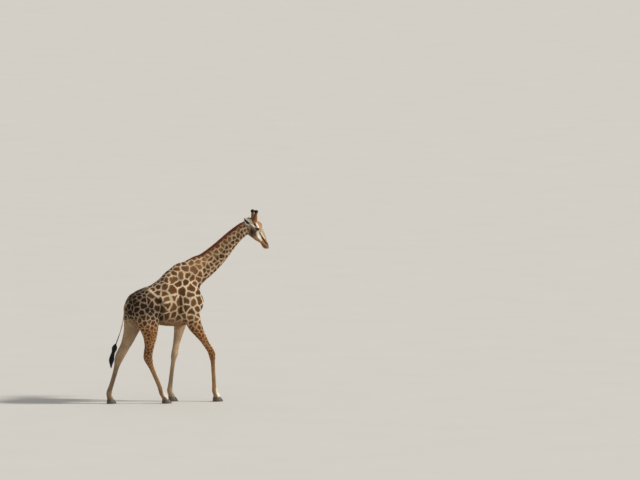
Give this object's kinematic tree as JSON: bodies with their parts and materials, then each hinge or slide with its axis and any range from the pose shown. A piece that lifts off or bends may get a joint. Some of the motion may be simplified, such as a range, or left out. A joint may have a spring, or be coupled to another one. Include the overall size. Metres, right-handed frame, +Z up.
{
  "type": "giraffe",
  "caption": "Life-size still model of a walking southern giraffe with a patched coat, upright mane, slim tufted horns and cloven hooves.",
  "frame": {"origin": "on the floor, under the middle of the whole animal's box", "axes": "+X the way the giraffe walks, +Y towards its left side, +Z up"},
  "size_m": [3.3486, 0.7068, 3.7386],
  "materials": {
    "coat": "short flat hair, brown patches between cream lines",
    "mane": "stiff upright reddish-brown hair",
    "tail_hair": "long coarse black hair",
    "ear": "cream hair, long and pale inside the cup",
    "ossicone": "skin-covered horn with a black hair tuft",
    "hoof": "dull dusty horn",
    "eye": "wet dark brown"
  },
  "bodies": {
    "root": {"trunk": "coat", "neck": "coat", "head": "coat", "tail": "coat", "fore_right_upper_leg": "coat", "fore_right_lower_leg": "coat", "fore_right_hoof_outer": "hoof", "fore_right_hoof_inner": "hoof", "fore_left_upper_leg": "coat", "fore_left_lower_leg": "coat", "fore_left_hoof_outer": "hoof", "fore_left_hoof_inner": "hoof", "hind_right_upper_leg": "coat", "hind_right_lower_leg": "coat", "hind_right_hoof_outer": "hoof", "hind_right_hoof_inner": "hoof", "hind_left_upper_leg": "coat", "hind_left_lower_leg": "coat", "hind_left_hoof_outer": "hoof", "hind_left_hoof_inner": "hoof", "eye_right": "eye", "ear_right": "ear", "ossicone_right": "ossicone", "eye_left": "eye", "ear_left": "ear", "ossicone_left": "ossicone", "mane": "mane", "tail_tuft": "tail_hair"}
  },
  "joints": []
}
